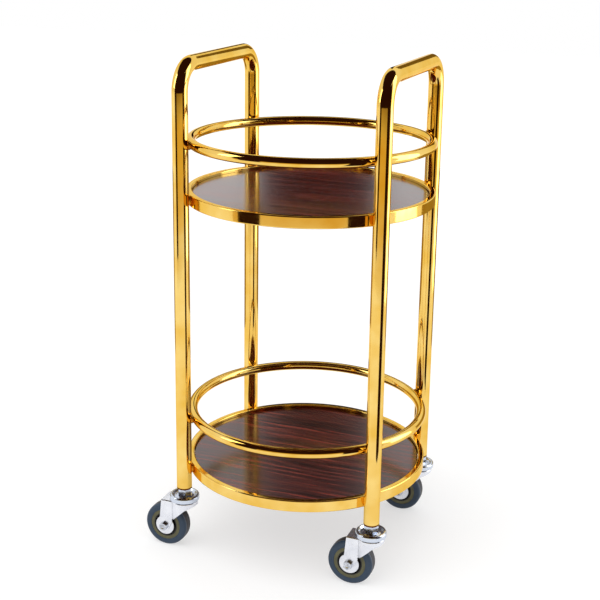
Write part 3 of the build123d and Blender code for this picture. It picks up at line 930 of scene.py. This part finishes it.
class CART_OT_forks(bpy.types.Operator):
    """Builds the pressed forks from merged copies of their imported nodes"""

    bl_idname = "cart.forks"
    bl_label = "Forks"

    def execute(self, context):
        finish = zinc_plate("bright zinc sheet", context.scene.cart_colours.zinc, 0.26, 16)
        for corner in CORNERS:
            node = f"{corner}_fork"
            mesh = merged_copy(node, f"zinc_fork_{corner}", 28)
            add_piece(mesh, f"{corner}_swivel", "zinc_fork", finish, node)
        return {"FINISHED"}


def merged_copy(node, name, crease):
    """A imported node's mesh with its loose triangles joined and shaded smooth up to the crease."""
    mesh = bpy.data.meshes.new(name)
    weld = bmesh.new()
    weld.from_mesh(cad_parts[node].data)
    bmesh.ops.remove_doubles(weld, verts=weld.verts, dist=PACKED_MERGE)
    weld.to_mesh(mesh)
    weld.free()
    mesh.materials.clear()
    shade(mesh, crease)
    return mesh


class CART_OT_axles(bpy.types.Operator):
    """Builds the axle bolts and their collar nuts"""

    bl_idname = "cart.axles"
    bl_label = "Axle bolts and nuts"

    def execute(self, context):
        sizes = context.scene.cart_sizes
        finish = zinc_plate("zinc fastener", context.scene.cart_colours.bolt_zinc, 0.12, 3)
        shank = sizes.bolt_diameter / 2
        for corner in CORNERS:
            body = f"{corner}_swivel"
            bolt_box, nut_box = NodeBox(f"{corner}_axle_bolt"), NodeBox(f"{corner}_axle_nut")
            start, tip = bolt_box.low[1], bolt_box.high[1]
            nut_start, nut_end = nut_box.low[1], nut_box.high[1]
            flats = 2 * bolt_box.half[2]
            place = bolt_box.middle * [1, 0, 1]
            # The head's underside lies as far before the stem's axis as the nut's lies behind it.
            leg = 2 * NodeBox(f"{corner}_stem").middle[1] - nut_start
            face = dished_face(sizes, shank, start)
            pin = bolt_shank(sizes, leg - sizes.overlap, tip)
            bolt = surface(f"zinc_bolt_{corner}", [
                hexagon_rows(flats, start, leg, sizes.bolt_chamfer, shank, place, ACROSS),
                revolved(face, place, ACROSS, ROUND_STEPS),
                revolved(pin, place, ACROSS, ROUND_STEPS),
            ], crease=12)
            add_piece(bolt, body, "zinc_bolt", finish, f"{corner}_axle_bolt")
            collar = nut_end - sizes.collar_height
            bore = shank + sizes.bolt_gap
            round_end = collar_profile(sizes, bore, flats / 2, collar, nut_end)
            nut = surface(f"zinc_nut_{corner}", [
                hexagon_rows(flats, nut_start, collar, sizes.bolt_chamfer, bore, place, ACROSS),
                revolved(round_end, place, ACROSS, ROUND_STEPS),
            ], crease=30)
            add_piece(nut, body, "zinc_bolt", finish, f"{corner}_axle_nut")
        return {"FINISHED"}


def dished_face(sizes, radius, face):
    """The pressed hollow in a bolt's head: its depth is d (1 - (r / R)^2), on a plain disc."""
    share = np.linspace(1, 0, HOLLOW_ROWS)
    hollow = np.stack([radius * share, face + sizes.bolt_hollow * (1 - share**2)], -1)
    back = face + 2 * sizes.bolt_hollow
    return np.concatenate([hollow, [(0, back), (radius, back)]])


def bolt_shank(sizes, start, end):
    """Shank profile with the ridges of a thread near its tip and a chamfered end.

    The radius goes from crest to root and back in each pitch, up to one pitch before the end."""
    crest, pitch = sizes.bolt_diameter / 2, sizes.bolt_thread
    root = crest - THREAD_DEPTH * pitch
    half_turn = np.arange(2 * THREAD_TURNS)
    ridges = end - (THREAD_TURNS + 1 - half_turn / 2) * pitch
    depth = np.where(half_turn % 2 == 0, crest, root)
    return np.concatenate([
        [(0, start), (crest, start)],
        np.stack([depth, ridges], -1),
        [(root, end - THREAD_DEPTH / 2 * pitch), (crest - pitch, end), (0, end)],
    ])


def collar_profile(sizes, bore, radius, start, end):
    """A nut's round collar: a short cylinder whose outer edge rounds in to the bolt."""
    edge = (end - start) / 2
    outer = radius - sizes.bolt_chamfer
    inside = start - sizes.overlap
    return np.concatenate([
        [(bore, inside), (outer, inside)],
        arc((outer - edge, end - edge), edge, 0, 90, COLLAR_ROWS),
        [(bore, end)],
    ])


class CART_OT_wheels(bpy.types.Operator):
    """Builds the wheel cores, tyres and hub covers"""

    bl_idname = "cart.wheels"
    bl_label = "Wheels"

    def execute(self, context):
        sizes = context.scene.cart_sizes
        half = NodeBox(f"{CORNERS[0]}_tyre").half
        tyre = tyre_profile(sizes, half[2], half[1])
        rubber = tyre_rubber(float(run_lengths(tyre[None], 1, True)[-1]))
        half = NodeBox(f"{CORNERS[0]}_wheel_core").half
        core = core_profile(sizes, half[2], half[1])
        plastic = olive_plastic(*core_wells(core, sizes.core_lip))
        zinc = zinc_plate("bright zinc cover", context.scene.cart_colours.zinc, 0.26, 12)
        for corner in CORNERS:
            body = f"{corner}_wheel"
            place = NodeBox(f"{corner}_tyre").middle
            mesh = turned_mesh(f"slate_tyre_{corner}", [tyre], place, ACROSS, WHEEL_STEPS, 40)
            add_piece(mesh, body, "grey_tyre", rubber, f"{corner}_tyre")
            mesh = turned_mesh(f"olive_core_{corner}", [core], place, ACROSS, WHEEL_STEPS, 40)
            add_piece(mesh, body, "olive_core", plastic, f"{corner}_wheel_core")
            half = NodeBox(f"{corner}_hub_covers").half
            cover = cover_profile(sizes, half[2], half[1])
            covers = [cover * [1, -1], cover]
            mesh = turned_mesh(f"zinc_covers_{corner}", covers, place, ACROSS, ROUND_STEPS, 40)
            add_piece(mesh, body, "zinc_cover", zinc, f"{corner}_hub_covers")
        return {"FINISHED"}


def tyre_profile(sizes, radius, half):
    """Closed section: seat, side leaning out, round shoulder, crowned tread and back again.

    The tread's radius rises by c (1 - (z / half)^2) towards its middle, and so do the shoulders."""
    seat_half = sizes.seat_width / 2
    edge = radius - sizes.tread_crown
    outline = rounded(
        [(sizes.tyre_seat, -seat_half), (edge, -half), (edge, half), (sizes.tyre_seat, seat_half)],
        [sizes.seat_edge, sizes.shoulder_round, sizes.shoulder_round, sizes.seat_edge], TYRE_ARC,
    )
    shoulders = outline[TYRE_ARC : 3 * TYRE_ARC]
    across = np.clip(shoulders[:, 1] / half, -1, 1)
    shoulders[:, 0] += sizes.tread_crown * (1 - across**2)
    tread_half = half - sizes.shoulder_round
    width = np.linspace(-tread_half, tread_half, TREAD_ROWS)[1:-1]
    crown = np.stack([edge + sizes.tread_crown * (1 - (width / half) ** 2), width], -1)
    return np.concatenate([outline[: 2 * TYRE_ARC], crown, outline[2 * TYRE_ARC :]])


def core_profile(sizes, radius, hub_half):
    """Closed section: bore, hub, web, rim with rounded edges, and the same back."""
    rim_half = sizes.seat_width / 2 - sizes.core_inset
    web, hub, bore = sizes.core_web / 2, sizes.core_hub, sizes.sleeve_bore
    inner = radius - sizes.core_rim
    soft, fine = sizes.core_edge, sizes.bore_edge
    near = np.array([
        (bore, -hub_half), (hub, -hub_half), (hub, -web), (inner, -web),
        (inner, -rim_half), (radius, -rim_half),
    ])
    radii = [fine, soft, soft, soft, soft, soft / 2]
    far = near[::-1] * [1, -1]
    return rounded(np.concatenate([near, far]), radii + radii[::-1], CORE_ARC)


def core_wells(core, lip):
    """The length of a core's section, and the shares of it at which its two wells start and end.

    A well runs from the hub's edge, the second corner, to a lip past the rim's inner edge, which is
    the fifth."""
    lengths = run_lengths(core[None], 1, True)
    near = (lengths[CORE_ARC], lengths[5 * CORE_ARC - 1] + lip)
    far = (lengths[7 * CORE_ARC] - lip, lengths[11 * CORE_ARC - 1])
    total = float(lengths[-1])
    return total, [(start / total, end / total) for start, end in (near, far)]


def cover_profile(sizes, radius, outer):
    """Closed section of one cover: a shallow pressed disc with its lip turned in over the web."""
    sheet, bore = sizes.cover_sheet, sizes.sleeve_bore
    inner = outer - sheet
    lip = inner - sizes.cover_lip
    burr, fold, sheared = 0.1 * MM, 0.3 * MM, 0.2 * MM
    return rounded(
        [(bore, inner), (radius - sheet, inner), (radius - sheet, lip), (radius, lip),
         (radius, outer), (bore, outer)],
        [burr, fold, sheared, sheared, sizes.cover_round, fold], COVER_ARC,
    )


class CART_OT_inner_steel(bpy.types.Operator):
    """Gives the pieces inside the cart their plain steel"""

    bl_idname = "cart.inner_steel"
    bl_label = "Inner steel"

    def execute(self, context):
        turned = plain_steel("turned steel", 0.34)
        balls = plain_steel("bearing steel", 0.12)
        for tier in TIERS:
            dress_node(f"{tier}_board_lugs", turned)
            dress_node(f"{tier}_board_screws", turned)
        dress_node("tube_end_plugs", turned)
        for corner in CORNERS:
            dress_node(f"{corner}_stem", turned)
            dress_node(f"{corner}_axle_sleeve", turned)
            dress_node(f"{corner}_race_balls", balls)
        return {"FINISHED"}


# Stage

class CART_OT_stage(bpy.types.Operator):
    """Sets up the floor, lamps, cards, room and camera"""

    bl_idname = "cart.stage"
    bl_label = "Stage"

    def execute(self, context):
        stage, colours = context.scene.cart_stage, context.scene.cart_colours
        view = stage.camera_turn
        add_floor(stage)
        add_room(stage)
        for name, side, width, strength in SUNS:
            add_sun(name, side, width, strength)
        add_warm_wall(view)
        corners, quads = curved(view, *REAR_WALL)
        add_sheet("rear wall", corners, colours.wall, stage.rear_glow, quads)
        add_sheet("ceiling card", level_sheet(*CEILING), colours.card)
        for name, colour, *place, glow in SHEETS:
            add_sheet(name, upright(view, *place), getattr(colours, colour), glow)
        add_camera(stage)
        context.scene.view_settings.view_transform = "Standard"
        return {"FINISHED"}


def eye_and_mirror_rays(tree):
    """One for rays from the camera, from mirrors and through glass, else nought."""
    path = add_node(tree, "ShaderNodeLightPath")
    first = add_node(
        tree, "ShaderNodeMath",
        {0: path.outputs["Is Camera Ray"], 1: path.outputs["Is Glossy Ray"]}, operation="MAXIMUM",
    )
    return add_node(
        tree, "ShaderNodeMath",
        {0: first.outputs["Value"], 1: path.outputs["Is Transmission Ray"]}, operation="MAXIMUM",
    ).outputs["Value"]


def add_floor(stage):
    """A wide matt white floor that keeps the soft shadow.

    It glows a little for the eye and for mirrors."""
    material, tree = empty_material("white studio floor")
    colour = bpy.context.scene.cart_colours.floor
    matt = add_node(tree, "ShaderNodeBsdfDiffuse", {"Color": colour})
    strength = add_node(
        tree, "ShaderNodeMath", {0: eye_and_mirror_rays(tree), 1: stage.floor_glow},
        operation="MULTIPLY",
    )
    glow = add_node(tree, "ShaderNodeEmission", {"Strength": strength.outputs["Value"]})
    both = add_node(
        tree, "ShaderNodeAddShader", {0: matt.outputs["BSDF"], 1: glow.outputs["Emission"]},
    )
    add_node(tree, "ShaderNodeOutputMaterial", {"Surface": both.outputs["Shader"]})
    half = stage.floor_size / 2
    floor = sheet_object("floor", level_sheet((-half, -half), (half, half), 0), material)


def add_room(stage):
    """A white room for the eye and for mirrors, and a plain soft light on matt surfaces."""
    world = bpy.data.worlds.new("white room")
    bpy.context.scene.world = world
    world.use_nodes = True
    tree = world.node_tree
    tree.nodes.clear()
    strength = add_node(
        tree, "ShaderNodeMapRange",
        {"Value": eye_and_mirror_rays(tree), "To Min": stage.sky_light, "To Max": 1.0},
    )
    light = add_node(
        tree, "ShaderNodeBackground", {"Color": WHITE, "Strength": strength.outputs["Result"]},
    )
    add_node(tree, "ShaderNodeOutputWorld", {"Surface": light.outputs["Background"]})


def add_sun(name, side, width, strength):
    """A wide soft sun that shines from one side and leaves no picture of itself in the mirrors."""
    data = bpy.data.lights.new(name, "SUN")
    data.angle = math.radians(width)
    data.energy = strength
    lamp = bpy.data.objects.new(name, data)
    lamp.rotation_euler = (-Vector(side)).to_track_quat("-Z", "Y").to_euler()
    lamp.visible_glossy = False
    bpy.context.scene.collection.objects.link(lamp)


def bearing_out(view_turn, degrees):
    """The level direction some degrees to the right of the one from the cart to the camera."""
    bearing = -math.pi / 2 + view_turn + np.radians(degrees)
    return np.stack([np.cos(bearing), np.sin(bearing), 0 * bearing], -1)


def upright(view_turn, degrees, distance, width, low, high):
    """Corners of an upright sheet that faces the cart from the given side."""
    out = bearing_out(view_turn, degrees)
    side = np.cross(Z_AXIS, out) * width / 2
    foot = out * distance
    return np.array([
        foot - side + Z_AXIS * low, foot + side + Z_AXIS * low,
        foot + side + Z_AXIS * high, foot - side + Z_AXIS * high,
    ])


def level_sheet(low, high, height):
    """Corners of a level sheet between two far corners."""
    (left, near), (right, far) = low, high
    return np.array([
        (left, near, height), (right, near, height), (right, far, height), (left, far, height),
    ])


def curved(view_turn, degrees, distance, height):
    """Corners and quads of a wall that stands on an arc round the cart.

    P(a, h) = distance (cos a, sin a) + h Z, with the bearing a running over the given degrees."""
    out = bearing_out(view_turn, np.linspace(*degrees, WALL_STEPS + 1)) * distance
    step = np.arange(WALL_STEPS)
    above = step + WALL_STEPS + 1
    quads = np.stack([step, step + 1, above + 1, above], -1)
    return np.concatenate([out, out + Z_AXIS * height]), quads


def sheet_object(name, corners, material, quads=((0, 1, 2, 3),)):
    """A flat or curved sheet in the scene."""
    mesh = bpy.data.meshes.new(name)
    mesh.from_pydata(corners.tolist(), [], np.asarray(quads).tolist())
    mesh.materials.append(material)
    sheet = bpy.data.objects.new(name, mesh)
    bpy.context.scene.collection.objects.link(sheet)
    return sheet


def hang(sheet):
    """Makes a sheet of the stage one that only the mirrors see."""
    sheet.visible_camera = False
    sheet.visible_diffuse = False
    sheet.visible_shadow = False
    sheet.visible_transmission = False


def glow_output(tree, colour, strength):
    """Ends a sheet's material in a glow of the given colour."""
    glow = add_node(tree, "ShaderNodeEmission", {"Color": colour, "Strength": strength})
    add_node(tree, "ShaderNodeOutputMaterial", {"Surface": glow.outputs["Emission"]})


def add_sheet(name, corners, colour, strength=1.0, quads=((0, 1, 2, 3),)):
    """A card, a low wall or a strip lamp: a sheet with one even glow."""
    material, tree = empty_material(name)
    glow_output(tree, colour, strength)
    hang(sheet_object(name, corners, material, quads))


def add_warm_wall(view_turn):
    """The room beyond the white floor: a wall on an arc, white at its foot, then tan and brown."""
    colours = bpy.context.scene.cart_colours
    material, tree = empty_material("warm room")
    place = add_node(tree, "ShaderNodeTexCoord").outputs["Object"]
    up = add_node(tree, "ShaderNodeSeparateXYZ", {"Vector": place}).outputs["Z"]
    tan, brown = colours.wall, colours.card
    shade_up = add_node(
        tree, "ShaderNodeValToRGB", {"Fac": up},
        stops=[(0.0, WHITE), (0.3, tan), (0.45, tan), (0.62, brown), (1.0, brown)],
    )
    glow_output(tree, shade_up.outputs["Color"], 1.0)
    corners, quads = curved(view_turn, *FRONT_WALL)
    hang(sheet_object("warm wall", corners, material, quads))


def add_camera(stage):
    """The camera: turned left of +Y, tilted down, then rolled."""
    data = bpy.data.cameras.new("camera")
    data.lens = stage.lens
    data.sensor_width = 36
    data.shift_y = stage.shift_up
    camera = bpy.data.objects.new("camera", data)
    bpy.context.scene.collection.objects.link(camera)
    turn = Euler((math.pi / 2 - stage.camera_tilt, 0, stage.camera_turn)).to_matrix()
    turn = turn @ Matrix.Rotation(stage.camera_roll, 3, "Z")
    camera.matrix_world = Matrix.Translation(stage.camera_place) @ turn.to_4x4()
    bpy.context.scene.camera = camera


# Add-on

GROUPS = {"cart_sizes": CartSizes, "cart_colours": CartColours, "cart_stage": CartStage}
OPERATORS = (
    CART_OT_frame_tubes,
    CART_OT_guard_rings,
    CART_OT_tray_rims,
    CART_OT_tray_boards,
    CART_OT_weld_beads,
    CART_OT_lock_nuts,
    CART_OT_swivel_caps,
    CART_OT_forks,
    CART_OT_axles,
    CART_OT_wheels,
    CART_OT_inner_steel,
    CART_OT_stage,
)


class CART_PT_panel(bpy.types.Panel):
    """Lists the cart's pieces, sizes and colours in the sidebar"""

    bl_label = "Service cart"
    bl_space_type = "VIEW_3D"
    bl_region_type = "UI"
    bl_category = "Service cart"

    def draw(self, context):
        for operator in OPERATORS:
            self.layout.operator(operator.bl_idname)
        for name in GROUPS:
            group = getattr(context.scene, name)
            for value in group.__annotations__:
                self.layout.prop(group, value)


def register():
    """Adds the classes and hangs the property groups on the scene."""
    for kind in (*GROUPS.values(), *OPERATORS, CART_PT_panel):
        bpy.utils.register_class(kind)
    for name, group in GROUPS.items():
        setattr(bpy.types.Scene, name, bpy.props.PointerProperty(type=group))


def unregister():
    """Takes the property groups and classes away again."""
    for name in GROUPS:
        delattr(bpy.types.Scene, name)
    for kind in (CART_PT_panel, *reversed(OPERATORS), *reversed(GROUPS.values())):
        bpy.utils.unregister_class(kind)


def main():
    """Builds the whole cart and its stage."""
    register()
    for operator in OPERATORS:
        group, name = operator.bl_idname.split(".")
        getattr(getattr(bpy.ops, group), name)()


if __name__ == "__main__":
    main()
